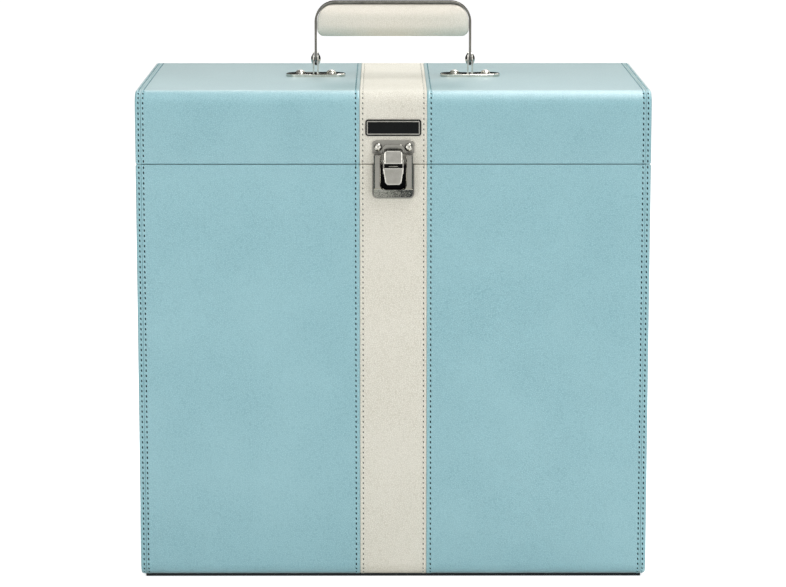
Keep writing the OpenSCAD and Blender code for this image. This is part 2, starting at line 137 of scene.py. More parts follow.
def new_material(name):
    """An empty material with its shader and output: (material, node tree, shader)."""
    material = bpy.data.materials.new(name)
    material.use_nodes = True
    tree = material.node_tree
    tree.nodes.clear()
    shader = add(tree, "ShaderNodeBsdfPrincipled")
    add(tree, "ShaderNodeOutputMaterial", None, {"Surface": shader.outputs["BSDF"]})
    return material, tree, shader


def paint_over(material, where, colour):
    """Another colour mixed over the material's own, as strongly as the socket where says."""
    tree = material.node_tree
    base = principled(material).inputs["Base Color"]
    mixed = add(tree, "ShaderNodeMix", {"data_type": "RGBA"},
                {"Factor": where, "A": base.links[0].from_socket, "B": colour})
    tree.links.new(mixed.outputs["Result"], base)


print("white is", linear("#ffffff"))

# %% [markdown]
# ## Leatherette
# The covering is PVC-coated cloth, calendered against a roller with a fine leather grain. It is
# soft to the eye: a satin surface with no mirror in it. The grain is a cell pattern whose
# borders are pressed in, with a slow unevenness where the sheet was glued down by hand. The
# coating is a soft plastic with a fine bloom, which catches light that skims it: that is why
# the top and the rounded edge look paler than the front. Sheen is the shader's word for it.

# %% Leatherette
GRAIN = 1.2 * MM
GRAIN_DEPTH = 0.11 * MM
GRAIN_LINE = 0.22
MOTTLE = 55 * MM
MOTTLE_DEPTH = 0.6 * MM
COAT_ROUGH = 0.38
COAT_IOR = 1.75
BLOOM_TINT = (1.0, 0.97, 0.86, 1)


def leatherette(name, colour, shade, light, rough, sheen, coat):
    """Grained PVC cloth: its colour, its shade in the pressed lines, and its light rubbed parts."""
    material, tree, shader = new_material(name)
    place = add(tree, "ShaderNodeTexCoord").outputs["Object"]
    cells = add(tree, "ShaderNodeTexVoronoi", {"feature": "DISTANCE_TO_EDGE"},
                {"Vector": place, "Scale": 1 / GRAIN, "Randomness": 1.0})
    crease = add(tree, "ShaderNodeMapRange", {"interpolation_type": "SMOOTHSTEP"},
                 {"Value": cells.outputs["Distance"], "From Max": GRAIN_LINE})
    fine = add(tree, "ShaderNodeTexNoise", None,
               {"Vector": place, "Scale": 2.2 / GRAIN, "Detail": 3.0, "Roughness": 0.6})
    slow = add(tree, "ShaderNodeTexNoise", None,
               {"Vector": place, "Scale": 1 / MOTTLE, "Detail": 3.0, "Roughness": 0.55})
    pressed = add(tree, "ShaderNodeMix", {"data_type": "RGBA"},
                  {"Factor": crease.outputs["Result"], "A": linear(shade), "B": linear(colour)})
    rubbed = add(tree, "ShaderNodeMapRange", None,
                 {"Value": slow.outputs["Fac"], "From Min": 0.35, "From Max": 0.75, "To Max": 0.35})
    tint = add(tree, "ShaderNodeMix", {"data_type": "RGBA"},
               {"Factor": rubbed.outputs["Result"], "A": pressed.outputs["Result"],
                "B": linear(light)})
    satin = add(tree, "ShaderNodeMapRange", None,
                {"Value": fine.outputs["Fac"], "To Min": rough - 0.06, "To Max": rough + 0.08})
    height = add(tree, "ShaderNodeMath", {"operation": "MULTIPLY_ADD"},
                 {0: fine.outputs["Fac"], 1: 0.5, 2: crease.outputs["Result"]})
    grain = add(tree, "ShaderNodeBump", None,
                {"Strength": 0.9, "Distance": GRAIN_DEPTH, "Height": height.outputs["Value"]})
    lie = add(tree, "ShaderNodeBump", None,
              {"Strength": 0.25, "Distance": MOTTLE_DEPTH, "Height": slow.outputs["Fac"],
               "Normal": grain.outputs["Normal"]})
    links = tree.links
    links.new(tint.outputs["Result"], shader.inputs["Base Color"])
    links.new(satin.outputs["Result"], shader.inputs["Roughness"])
    links.new(lie.outputs["Normal"], shader.inputs["Normal"])
    shader.inputs["IOR"].default_value = 1.5
    shader.inputs["Specular IOR Level"].default_value = 0.5
    shader.inputs["Sheen Weight"].default_value = sheen
    shader.inputs["Sheen Roughness"].default_value = 0.4
    shader.inputs["Coat Weight"].default_value = coat
    shader.inputs["Coat Roughness"].default_value = COAT_ROUGH
    shader.inputs["Coat IOR"].default_value = COAT_IOR
    shader.inputs["Sheen Tint"].default_value = BLOOM_TINT
    return material


blue_leatherette = leatherette(
    "blue_leatherette", "#88b9c1", "#6fa3ad", "#96c4cb", rough=0.42, sheen=0.45, coat=1.0)
cream_leatherette = leatherette(
    "cream_leatherette", "#dedbcf", "#c8c4b5", "#e3e0d5", rough=0.62, sheen=0.0, coat=0.0)
grip_leatherette = leatherette(
    "grip_leatherette", "#e8e1d5", "#dcd5c6", "#ebe4d9", rough=0.6, sheen=0.12, coat=0.0)
print("leatherette grain", GRAIN / MM, "mm")

# %% [markdown]
# ## Nickel plate
# The fittings are pressed steel with bright nickel plate. A metal's colour is its reflection,
# so the finish is a warm grey mirror, a little uneven from the press and marked with faint
# handling lines. The crevices are painted darker, as painted shade where an ambient occlusion
# node finds them.

# %% Nickel
HANDLING_MARK = 0.5 * MM
CLOUD = 3 * MM
CLOUD_GREY = "#b4b2a8"
# reach and colour of the painted shade in crevices
PAINTED_SHADE_REACH = 3.0 * MM
PAINTED_SHADE_BLACK = "#141617"


def nickel_plate(name, colour, rough, wave, full_shade_at=0.45, no_shade_at=0.95):
    """Bright plate on pressed steel: wave is how far it is from flat, and the last two are the
    ambient occlusion levels at which the painted shade in crevices is full and at which it ends."""
    material, tree, shader = new_material(name)
    place = add(tree, "ShaderNodeTexCoord").outputs["Object"]
    stretched = add(tree, "ShaderNodeMapping", None, {"Vector": place, "Scale": (1.0, 1.0, 0.12)})
    marks = add(tree, "ShaderNodeTexNoise", None,
                {"Vector": stretched.outputs["Vector"], "Scale": 1 / HANDLING_MARK, "Detail": 4.0})
    cloud = add(tree, "ShaderNodeTexNoise", None,
                {"Vector": place, "Scale": 1 / CLOUD, "Detail": 2.0})
    dull = add(tree, "ShaderNodeMapRange", None,
               {"Value": marks.outputs["Fac"], "From Min": 0.3, "From Max": 0.8,
                "To Min": rough, "To Max": rough + 0.10})
    tone = add(tree, "ShaderNodeMix", {"data_type": "RGBA"},
               {"Factor": cloud.outputs["Fac"], "A": linear(colour), "B": linear(CLOUD_GREY)})
    # painted shade: the colour goes towards black where ambient occlusion finds a crevice
    occlusion = add(tree, "ShaderNodeAmbientOcclusion", {"samples": 8}, {"Distance": PAINTED_SHADE_REACH})
    unshaded = add(tree, "ShaderNodeMapRange", None,
                  {"Value": occlusion.outputs["AO"], "From Min": full_shade_at, "From Max": no_shade_at})
    painted_shade = add(tree, "ShaderNodeMix", {"data_type": "RGBA"},
                 {"Factor": unshaded.outputs["Result"], "A": linear(PAINTED_SHADE_BLACK),
                  "B": tone.outputs["Result"]})
    bump = add(tree, "ShaderNodeBump", None,
               {"Strength": 0.4, "Distance": wave, "Height": cloud.outputs["Fac"]})
    links = tree.links
    links.new(painted_shade.outputs["Result"], shader.inputs["Base Color"])
    links.new(dull.outputs["Result"], shader.inputs["Roughness"])
    links.new(bump.outputs["Normal"], shader.inputs["Normal"])
    shader.inputs["Metallic"].default_value = 1.0
    return material


# %% Nickel with painted shade and a painted reflection in places
FADE = 0.1 * MM
POCKET_SHADE_FADE = 0.4 * MM
POCKET_SHADE_BLACK = "#0e0f10"
PIT = 0.9 * MM
PIT_DEPTH = 0.15 * MM
SLOPE_REFLECTION_REACH = 14 * MM


def paint_shade_below(material, z_top, hex_colour):
    """The metal below z_top painted dark: painted shade in the gap under the claw's plate."""
    tree = material.node_tree
    place = add(tree, "ShaderNodeTexCoord").outputs["Object"]
    axes = add(tree, "ShaderNodeSeparateXYZ", None, {"Vector": place})
    low = add(tree, "ShaderNodeMapRange", None,
              {"Value": axes.outputs["Z"], "From Min": z_top + FADE, "From Max": z_top - FADE})
    paint_over(material, low.outputs["Result"], linear(hex_colour))


def paint_pocket_shade(material, half_width, z_low, y_face):
    """The pocket behind the mouth of the latch base, deeper than y_face, painted near-black:
    painted shade in the recess.
    """
    tree = material.node_tree
    place = add(tree, "ShaderNodeTexCoord").outputs["Object"]
    axes = add(tree, "ShaderNodeSeparateXYZ", None, {"Vector": place})
    aside = add(tree, "ShaderNodeMath", {"operation": "ABSOLUTE"}, {0: axes.outputs["X"]})
    deep = add(tree, "ShaderNodeMapRange", None,
               {"Value": axes.outputs["Y"], "From Min": y_face, "From Max": y_face + POCKET_SHADE_FADE})
    between = add(tree, "ShaderNodeMapRange", None,
                  {"Value": aside.outputs["Value"], "From Min": half_width + 2 * FADE,
                   "From Max": half_width + FADE})
    above = add(tree, "ShaderNodeMapRange", None,
                {"Value": axes.outputs["Z"], "From Min": z_low - 2 * FADE,
                 "From Max": z_low - FADE})
    inside = add(tree, "ShaderNodeMath", {"operation": "MULTIPLY"},
                 {0: deep.outputs["Result"], 1: between.outputs["Result"]})
    where = add(tree, "ShaderNodeMath", {"operation": "MULTIPLY"},
                {0: inside.outputs["Value"], 1: above.outputs["Result"]})
    paint_over(material, where.outputs["Value"], linear(POCKET_SHADE_BLACK))


def paint_slope_reflection(material, z_top, y_face):
    """The slope under the mouth of the latch base, below z_top and before y_face: a painted dark
    reflection, mottled and lighter towards -x, over a pitted bump.
    """
    tree = material.node_tree
    place = add(tree, "ShaderNodeTexCoord").outputs["Object"]
    axes = add(tree, "ShaderNodeSeparateXYZ", None, {"Vector": place})
    low = add(tree, "ShaderNodeMapRange", None,
              {"Value": axes.outputs["Z"], "From Min": z_top + 2 * FADE,
               "From Max": z_top - 2 * FADE})
    front = add(tree, "ShaderNodeMapRange", None,
                {"Value": axes.outputs["Y"], "From Min": y_face + FADE, "From Max": y_face - FADE})
    where = add(tree, "ShaderNodeMath", {"operation": "MULTIPLY"},
                {0: low.outputs["Result"], 1: front.outputs["Result"]})
    pits = add(tree, "ShaderNodeTexNoise", None,
               {"Vector": place, "Scale": 1 / PIT, "Detail": 3.0, "Roughness": 0.6})
    across = add(tree, "ShaderNodeMapRange", None,
                 {"Value": axes.outputs["X"], "From Min": -SLOPE_REFLECTION_REACH, "From Max": SLOPE_REFLECTION_REACH,
                  "To Min": 0.16, "To Max": -0.10})
    level = add(tree, "ShaderNodeMath", {"operation": "ADD"},
                {0: pits.outputs["Fac"], 1: across.outputs["Result"]})
    patch = add(tree, "ShaderNodeMapRange", None,
                {"Value": level.outputs["Value"], "From Min": 0.38, "From Max": 0.68})
    painted_reflection = add(tree, "ShaderNodeMix", {"data_type": "RGBA"},
                 {"Factor": patch.outputs["Result"], "A": linear("#202426"),
                  "B": linear("#a9a89f")})
    paint_over(material, where.outputs["Value"], painted_reflection.outputs["Result"])
    normal = principled(material).inputs["Normal"]
    rougher = add(tree, "ShaderNodeBump", None,
                  {"Strength": where.outputs["Value"], "Distance": PIT_DEPTH,
                   "Height": pits.outputs["Fac"], "Normal": normal.links[0].from_socket})
    tree.links.new(rougher.outputs["Normal"], normal)


nickel = nickel_plate("bright_nickel_plate", "#dad8d0", 0.07, 0.04 * MM)
# The pins deep in the latch are a dark copy of the nickel: painted shade.
pin_shade_steel = nickel_plate("pin_steel_painted_shade", "#2a2a28", 0.25, 0.02 * MM)
print("nickel marks", HANDLING_MARK / MM, "mm apart")

# %% [markdown]
# ## The plain finishes
# Black enamel fills the nameplate. Black flock, a short felt, lines the case. The boards are
# grey pulp board, and the base is a sheet of black fibre board. Each has the small scale
# texture that it is known by.

# %% Enamel, flock, boards and thread
def plain_finish(name, dark, light, rough, cell, depth, specular=0.5, coat=0.0):
    """A matt or glossy finish with one noise for its tone, its roughness and its relief."""
    material, tree, shader = new_material(name)
    place = add(tree, "ShaderNodeTexCoord").outputs["Object"]
    noise = add(tree, "ShaderNodeTexNoise", None,
                {"Vector": place, "Scale": 1 / cell, "Detail": 4.0, "Roughness": 0.65})
    tone = add(tree, "ShaderNodeMix", {"data_type": "RGBA"},
               {"Factor": noise.outputs["Fac"], "A": linear(dark), "B": linear(light)})
    uneven = add(tree, "ShaderNodeMapRange", None,
                 {"Value": noise.outputs["Fac"], "To Min": max(rough - 0.05, 0.02),
                  "To Max": rough + 0.05})
    bump = add(tree, "ShaderNodeBump", None,
               {"Strength": 0.5, "Distance": depth, "Height": noise.outputs["Fac"]})
    links = tree.links
    links.new(tone.outputs["Result"], shader.inputs["Base Color"])
    links.new(uneven.outputs["Result"], shader.inputs["Roughness"])
    links.new(bump.outputs["Normal"], shader.inputs["Normal"])
    shader.inputs["Specular IOR Level"].default_value = specular
    shader.inputs["Coat Weight"].default_value = coat
    return material


black_enamel = plain_finish(
    "black_stoved_enamel", "#0a0c0d", "#121415", 0.15, 6 * MM, 0.01 * MM, 0.12, 0.12)
black_flock = plain_finish("black_flock", "#131315", "#2a2a2d", 0.92, 0.7 * MM, 0.3 * MM, 0.2)
grey_board = plain_finish("grey_pulp_board", "#9a8f7c", "#b3a994", 0.85, 1.2 * MM, 0.1 * MM, 0.3)
fibre_board = plain_finish(
    "black_fibre_board", "#1c1f22", "#2e3236", 0.7, 1.0 * MM, 0.15 * MM, 0.3)
blue_thread = plain_finish(
    "blue_polyester_thread", "#86b6be", "#a6cfd4", 0.6, 0.3 * MM, 0.05 * MM, 0.4)
cream_thread = plain_finish(
    "cream_polyester_thread", "#cfccbf", "#e4e1d5", 0.6, 0.3 * MM, 0.05 * MM, 0.4)
needle_shadow = plain_finish(
    "needle_hole_shadow", "#0c181b", "#14262a", 0.9, 0.3 * MM, 0.02 * MM, 0.1)
print("materials so far:", len(bpy.data.materials))

# %% [markdown]
# ## Mesh helpers
# Every new piece is a bmesh that ends as an object at the origin, with its place in its mesh.
# `finish_piece` does what all of them need: faces turned outwards, smooth shading with the hard
# edges kept, and the calls that tie the piece to its body and hide the nodes it replaces.

# %% Helpers for pieces
SHARP = math.radians(38)
PRESSED = math.radians(16)
FLAT = math.radians(0.5)
HAIR = 1e-6
LEAST_FIELD = 20 * MM * MM
SAME_LEVEL = 0.05 * MM


def from_bmesh(name, bm, material=None):
    """The bmesh as an object in the scene, with its material. The bmesh is freed."""
    mesh = bpy.data.meshes.new(name)
    bm.to_mesh(mesh)
    bm.free()
    if material:
        mesh.materials.append(material)
    return placed(name, mesh)


def finish_piece(name, bm, material, body, replaced=(), turn_out=True, sharp=SHARP):
    """The bmesh as a finished object that rides on a body and stands for the replaced nodes."""
    if turn_out:
        bmesh.ops.recalc_face_normals(bm, faces=bm.faces)
    piece = from_bmesh(name, bm, material)
    piece.data.shade_smooth()
    piece.data.set_sharp_from_angle(angle=sharp)
    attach(piece, body)
    if replaced:
        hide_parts(*replaced)
    return piece


def soften(piece, width, segments=3):
    """A rounded edge on every corner of a piece, and normals that keep its flats flat."""
    bevel = piece.modifiers.new("rounded_edges", "BEVEL")
    bevel.width = width
    bevel.segments = segments
    bevel.limit_method = "ANGLE"
    bevel.angle_limit = SHARP
    bevel.miter_outer = "MITER_ARC"
    bevel.use_clamp_overlap = True
    weigh = piece.modifiers.new("flat_flats", "WEIGHTED_NORMAL")
    weigh.keep_sharp = True


def merged_copy(node):
    """A bmesh of a CAD node, its loose triangles joined into whole faces."""
    bm = bmesh.new()
    bm.from_mesh(nodes[node].data)
    bmesh.ops.remove_doubles(bm, verts=bm.verts, dist=HAIR)
    bmesh.ops.dissolve_limit(bm, angle_limit=FLAT, verts=bm.verts, edges=bm.edges)
    return bm


def pressed_border(bm, towards, width, fall):
    """Press down the border of the outermost flats: a slope of that width and fall round each."""
    way = Vector(towards)
    facing = [f for f in bm.faces if f.normal.dot(way) > 0.999 and f.calc_area() > LEAST_FIELD]
    reach = max(f.calc_center_median().dot(way) for f in facing)
    flats = [f for f in facing if f.calc_center_median().dot(way) > reach - SAME_LEVEL]
    for flat in flats:
        slope = bmesh.ops.inset_region(bm, faces=[flat], thickness=width, use_boundary=True,
                                       use_even_offset=True)["faces"]
        field = set(flat.verts)
        for v in {v for f in slope for v in f.verts if v not in field}:
            v.co -= way * fall


def refined(node, material, width, segments=3, border=None, shaping=None):
    """A CAD node's own shape with its edges rounded as pressed or cast metal has them."""
    body = nodes[node]["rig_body"]
    bm = merged_copy(node)
    if shaping:
        shaping(bm)
    if border:
        pressed_border(bm, *border)
    sharp = PRESSED if border else SHARP
    piece = finish_piece(node + "_finished", bm, material, body, (node,),
                         turn_out=False, sharp=sharp)
    soften(piece, width, segments)


print("edges stay hard past", round(math.degrees(SHARP)), "degrees")


# %% [markdown]
# ## The wrapped coverings
# A covering is one sheet of leatherette. It starts inside the rim, turns over the rim, runs up
# the front, over the top, down the back and in again at the far rim. The sheet's edges are
# folded under and sewn down, so a seam is two soft rolls with a row of stitches sunk beside
# each. Here the outline is a chain of edges whose corners are bevelled to the real radii. It is
# extruded across the case in steps, and each step is moved in or out to form the roll and the
# sewn groove. Solidify then gives the sheet its thickness.

# %% Sizes of the coverings
lid_near, lid_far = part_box("lid_centre_band")
body_near, body_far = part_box("body_centre_band")
_, lining_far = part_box("body_lining")
lid_lining_near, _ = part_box("lid_lining")

OUTER = lid_far.y
SKIN = 1.0 * MM
SHEET = 0.8 * MM
INNER = lining_far.y - SKIN
EDGE_R = 10 * MM
RIM_R = 0.9 * MM
TOP = lid_far.z
LID_RIM = lid_near.z
BODY_RIM = body_far.z
FOOT = body_near.z
TURN_IN = lid_lining_near.z - LID_RIM
HALF_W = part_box("lid_side_cover_right")[1].x
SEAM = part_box("lid_cover_right")[1].x
BAND = lid_far.x
print("case", 2 * HALF_W / MM, "x", 2 * OUTER / MM, "x", TOP / MM, "mm")
print("seams at", SEAM / MM, "and", BAND / MM, "mm from the middle")


# %% The outline and the seam profile
def outline_points(rim, far, turned):
    """The corners (y, z) of the covering's outside and their radii, rim to rim."""
    half = [(-INNER, turned, 0), (-INNER, rim, RIM_R), (-OUTER, rim, RIM_R), (-OUTER, far, EDGE_R)]
    return half + [(-y, z, r) for y, z, r in reversed(half)]


def outline_chain(bm, corners, x):
    """A chain of edges through the corners at that x, each corner rounded to its radius."""
    verts = [bm.verts.new((x, y, z)) for y, z, r in corners]
    for a, b in zip(verts, verts[1:]):
        bm.edges.new((a, b))
    for radius, segments in ((EDGE_R, 10), (RIM_R, 3)):
        turned = [v for v, c in zip(verts, corners) if c[2] == radius]
        bmesh.ops.bevel(bm, geom=turned, offset=radius, offset_type="OFFSET", segments=segments,
                        profile=0.5, affect="VERTICES", clamp_overlap=False, material=-1)


FOLD_RISE = 0.16 * MM
GROOVE = 0.28 * MM


def seam_steps(row):
    """How far the sheet stands out at each distance from its seam. row is the stitch row."""
    return [(0.0, -0.40 * MM), (0.12 * MM, -0.12 * MM), (0.35 * MM, 0.08 * MM),
            (0.5 * row, FOLD_RISE), (row - 0.55 * MM, 0.08 * MM), (row, -GROOVE),
            (row + 0.6 * MM, 0.0), (row + 1.4 * MM, 0.0)]


def grow(bm, edges, vec):
    """The edges extruded by vec, which draws a strip of faces: the new edges."""
    grown = bmesh.ops.extrude_edge_only(bm, edges=edges)["geom"]
    moved = [g for g in grown if isinstance(g, bmesh.types.BMVert)]
    bmesh.ops.translate(bm, vec=vec, verts=moved)
    return [g for g in grown if isinstance(g, bmesh.types.BMEdge)]


def wrapped_sheet(corners, steps):
    """The outline extruded through the steps (x, rise), each step moved out by its rise."""
    bm = bmesh.new()
    outline_chain(bm, corners, steps[0][0])
    edges = list(bm.edges)
    for (x0, _), (x1, _) in zip(steps, steps[1:]):
        edges = grow(bm, edges, (x1 - x0, 0, 0))
    bmesh.ops.recalc_face_normals(bm, faces=bm.faces)
    bm.normal_update()
    centre = Vector((0, 0, (corners[1][1] + corners[3][1]) / 2))
    sample = max(bm.faces, key=lambda f: f.calc_area())
    if sample.normal.dot(sample.calc_center_median() - centre) < 0:
        bmesh.ops.reverse_faces(bm, faces=bm.faces)
        bm.normal_update()
    rise = {round(x / MM, 3): h for x, h in steps}
    shifts = [(v, v.normal * rise[round(v.co.x / MM, 3)]) for v in bm.verts]
    for v, shift in shifts:
        v.co += shift
    return bm


def thicken(piece):
    """The sheet's real thickness, grown inwards from its outside."""
    wall = piece.modifiers.new("sheet_thickness", "SOLIDIFY")
    wall.thickness = SHEET
    wall.offset = -1


print("sheet", SHEET / MM, "mm thick, sewn", GROOVE / MM, "mm into the board")


# %% The panels of the body and the lid
BLUE_ROW_OUT = 1.6 * MM
BLUE_ROW_IN = 2.8 * MM
CREAM_ROW = 2.2 * MM


def panel_steps(x0, row0, x1, row1):
    """Steps across a panel from seam x0 to seam x1."""
    first = [(x0 + d, h) for d, h in seam_steps(row0)]
    last = [(x1 - d, h) for d, h in seam_steps(row1)]
    return first + last[::-1]


SHELLS = {
    "lid": outline_points(LID_RIM, TOP, LID_RIM + TURN_IN),
    "body": outline_points(BODY_RIM, FOOT, BODY_RIM - TURN_IN),
}
CARRIED_BY = {"lid": "lid", "body": "case"}
for part, corners in SHELLS.items():
    steps = panel_steps(BAND, BLUE_ROW_IN, SEAM, BLUE_ROW_OUT)
    mirrored = [(-x, h) for x, h in reversed(steps)]
    for side, run in (("left", mirrored), ("right", steps)):
        thicken(finish_piece(f"{part}_panel_{side}", wrapped_sheet(corners, run),
                             blue_leatherette, CARRIED_BY[part],
                             (f"{part}_cover_{side}",), turn_out=False))
    run = panel_steps(-BAND, CREAM_ROW, BAND, CREAM_ROW)
    thicken(finish_piece(f"{part}_band", wrapped_sheet(corners, run), cream_leatherette,
                         CARRIED_BY[part], (f"{part}_centre_band",),
                         turn_out=False))
    print(part, "panels", round((SEAM - BAND) / MM, 1), "mm wide, band", round(2 * BAND / MM, 1))

# %% [markdown]
# ## The side sheets
# Each end of the case has a sheet of its own. It covers the end board and is wrapped a few
# millimetres onto the front, top and back, where it meets the wrapped panels at the outer seam.
# The end outline is one face. Its border is extruded inwards for the wrap, and the long corner
# between the end and the wrap is rounded like board under a stretched sheet. Over the rim the
# end sheet is tucked under the panels, so the two don't lie in one plane where they cross.

# %% Side sheets
CORNER_R = 1.3 * MM
SIDE_ROW = 1.6 * MM
TUCK = 0.35 * MM


def side_sheet(side, rim, far, turned):
    """The end sheet of the lid or the body: side is -1 or 1."""
    bm = bmesh.new()
    x = side * HALF_W
    square = [(-OUTER, rim), (-OUTER, far), (OUTER, far), (OUTER, rim)]
    verts = [bm.verts.new((x, y, z)) for y, z in square]
    bm.faces.new(verts)
    bmesh.ops.bevel(bm, geom=verts[1:3], offset=EDGE_R, offset_type="OFFSET", segments=10,
                    profile=0.5, affect="VERTICES", clamp_overlap=False, material=-1)
    edges = list(bm.edges)
    depth = HALF_W - SEAM
    wrap = [(depth - d, h) for d, h in seam_steps(SIDE_ROW) if d < depth - CORNER_R]
    stations = [(0.0, 0.0)] + wrap[::-1]
    for (d0, _), (d1, _) in zip(stations, stations[1:]):
        edges = grow(bm, edges, (side * (d0 - d1), 0, 0))
    bmesh.ops.recalc_face_normals(bm, faces=bm.faces)
    bm.normal_update()
    end = max(bm.faces, key=lambda f: f.calc_area())
    if end.normal.x * side < 0:
        bmesh.ops.reverse_faces(bm, faces=bm.faces)
        bm.normal_update()
    rise = {round((HALF_W - d) / MM, 3): h for d, h in stations}
    shifts = []
    for v in bm.verts:
        out = Vector((0, v.normal.y, 0 if abs(v.co.z - rim) < HAIR else v.normal.z))
        if out.length > HAIR and abs(v.co.x) < HALF_W - HAIR:
            shifts.append((v, out.normalized() * rise[round(abs(v.co.x) / MM, 3)]))
    for v, shift in shifts:
        v.co += shift
    border = [e for e in bm.edges if all(abs(abs(v.co.x) - HALF_W) < HAIR for v in e.verts)]
    bmesh.ops.bevel(bm, geom=border, offset=CORNER_R, offset_type="OFFSET", segments=4,
                    profile=0.5, affect="EDGES", clamp_overlap=True, material=-1)
    lip = [e for e in bm.edges if e.is_boundary and all(abs(v.co.z - rim) < HAIR for v in e.verts)]
    inner = side * (INNER + HALF_W - OUTER)
    tuck = math.copysign(TUCK, turned - rim)
    for vec in ((inner - side * SEAM, 0, tuck), (0, 0, turned - rim)):
        lip = grow(bm, lip, vec)
    return bm


for side, word in ((-1, "left"), (1, "right")):
    thicken(finish_piece(f"lid_end_{word}", side_sheet(side, LID_RIM, TOP, LID_RIM + TURN_IN),
                         blue_leatherette, "lid",
                         (f"lid_side_cover_{word}",), turn_out=False))
    thicken(finish_piece(f"body_end_{word}", side_sheet(side, BODY_RIM, FOOT, BODY_RIM - TURN_IN),
                         blue_leatherette, "case",
                         (f"body_side_cover_{word}",), turn_out=False))
print("end sheets wrap", round((HALF_W - SEAM) / MM, 1), "mm onto the front and back")

# %% [markdown]
# ## Stitches
# A sewing machine leaves a thread that dives into a needle hole every few millimetres. In the
# picture the thread is the colour of the sheet and the holes read as dark dots. Each stitch is
# a small egg of thread, turned a little off the row as a lockstitch lies, and each hole is a
# dark bead pressed into the groove. Both have few faces, because there are thousands.

# %% Stitches
PITCH = 3.7 * MM
THREAD = Vector((0.42, 1.25, 0.22)) * MM
HOLES = {"blue": Vector((0.68, 1.1, 0.2)) * MM, "cream": Vector((0.45, 0.75, 0.14)) * MM}
SLANT = math.radians(10)
FIRST_STITCH = 0.55
JITTER = 0.12
LEAN = 0.1
THREAD_SUNK = 0.16 * MM
HOLE_SUNK = 0.15 * MM


def walk(corners, pitch):
    """Points along the outside of the wrapped sheet, one every pitch: (y, z, tangent, outward)."""
    bm = bmesh.new()
    near, far = corners[2], corners[-3]
    outline_chain(bm, [(*near[:2], 0), *corners[3:-3], (*far[:2], 0)], 0.0)
    ends = [v for v in bm.verts if len(v.link_edges) == 1]
    path = [min(ends, key=lambda v: v.co.y)]
    while True:
        ahead = [e.other_vert(path[-1]) for e in path[-1].link_edges]
        ahead = [v for v in ahead if v not in path]
        if not ahead:
            break
        path.append(ahead[0])
    points = [v.co.copy() for v in path]
    bm.free()
    middle = Vector((0, 0, (corners[2][1] + corners[3][1]) / 2))
    spare = FIRST_STITCH * pitch
    out = []
    for a, b in zip(points, points[1:]):
        length = (b - a).length
        along = (b - a) / length
        outward = along.cross(Vector((1, 0, 0)))
        if outward.dot((a + b) / 2 - middle) < 0:
            outward = -outward
        while spare < length:
            out.append((a + along * spare, along, outward))
            spare += pitch
        spare -= length
    return out


BATCH = 20


def beads(size, places):
    """One low sphere, stretched to size, at each place (point, along, outward, slant). They are
    made in small batches, because each sphere takes longer in a mesh that has grown."""
    whole = bmesh.new()
    batch = bpy.data.meshes.new("batch")
    for first in range(0, len(places), BATCH):
        bm = bmesh.new()
        for point, along, outward, slant in places[first:first + BATCH]:
            turn = Matrix((along.cross(outward), along, outward)).transposed().to_4x4()
            turn = turn @ Matrix.Rotation(slant, 4, "Z") @ Matrix.Diagonal((*size, 1))
            bmesh.ops.create_uvsphere(bm, u_segments=8, v_segments=4, radius=1,
                                      matrix=Matrix.Translation(point) @ turn)
        bm.to_mesh(batch)
        bm.free()
        whole.from_mesh(batch)
    bpy.data.meshes.remove(batch)
    return whole


rng = random.Random(7)
ROWS = {
    "blue": [s * x for s in (-1, 1)
             for x in (SEAM + SIDE_ROW, SEAM - BLUE_ROW_OUT, BAND + BLUE_ROW_IN)],
    "cream": [s * (BAND - CREAM_ROW) for s in (-1, 1)],
}
THREADS = {"blue": blue_thread, "cream": cream_thread}
total = 0
for part, corners in SHELLS.items():
    body = CARRIED_BY[part]
    along_row = walk(corners, PITCH)
    for colour, rows in ROWS.items():
        threads, holes = [], []
        for x in rows:
            for point, along, outward in along_row[:-1]:
                jitter = rng.uniform(-JITTER, JITTER) * MM
                at = Vector((x, point.y, point.z)) + along * jitter
                lean = SLANT + rng.uniform(-LEAN, LEAN)
                sewn = at + along * PITCH / 2
                threads.append((sewn - outward * THREAD_SUNK, along, outward, lean))
                holes.append((at - outward * HOLE_SUNK, along, outward, lean * 2))
        total += len(threads)
        finish_piece(f"{part}_{colour}_stitches", beads(THREAD, threads), THREADS[colour], body)
        # each needle hole is a dark bead: a painted shadow
        finish_piece(f"{part}_{colour}_needle_hole_shadows", beads(HOLES[colour], holes),
                     needle_shadow, body)
print("stitches:", total)

# %% [markdown]
# ## Boards, lining and base
# The box itself is pulp board, pinned and glued. It is hidden by the covering and the lining, so
# it keeps its CAD shape and takes its finish only. The lining and the base are flat sheets: a
# copy of each CAD mesh with its cut edges a little rounded is all that they need.

# %% Boards, lining and base
for name, node in nodes.items():
    if name.endswith("_board"):
        node.data.materials.clear()
        node.data.materials.append(grey_board)
for name in ("body_lining", "lid_lining"):
    refined(name, black_flock, 0.8 * MM, 2)
refined("base_panel", fibre_board, 0.5 * MM, 2)
print("boards:", sum(name.endswith("_board") for name in nodes))

# %% [markdown]
# ## The fittings
# The latch, the brackets and the hinges are stamped from thin steel sheet and then plated. A
# stamp leaves two things that the eye looks for: the flats are bordered by a narrow pressed
# slope, and every edge is a little round. The slope is an inset of the outermost flats whose
# rim is let down, and a Bevel modifier rounds the rest. The mouth of the latch base is rolled
# over further, and the claw's plate is cut off above its pin, with its two knuckles set back.

# %% Sizes of the fittings
FRONT = (0, -1, 0)
UP = (0, 0, 1)
CLAW_RAISED = 0.9 * MM
KNUCKLE_BACK = 0.7 * MM
ROLL = 0.55 * MM
MOUTH_DEEP = 4 * MM
FLAT_WAVE = 0.04 * MM
base_near, base_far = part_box("latch_base")
mouth_low = base_near.z + 6.9 * MM
half_mouth = 8.7 * MM
pocket_face = base_near.y + 1.6 * MM
slope_face = -OUTER - 1.3 * MM
claw_low = base_far.z - 7.1 * MM + CLAW_RAISED
print("latch base", round((base_far.x - base_near.x) / MM, 1), "mm wide")


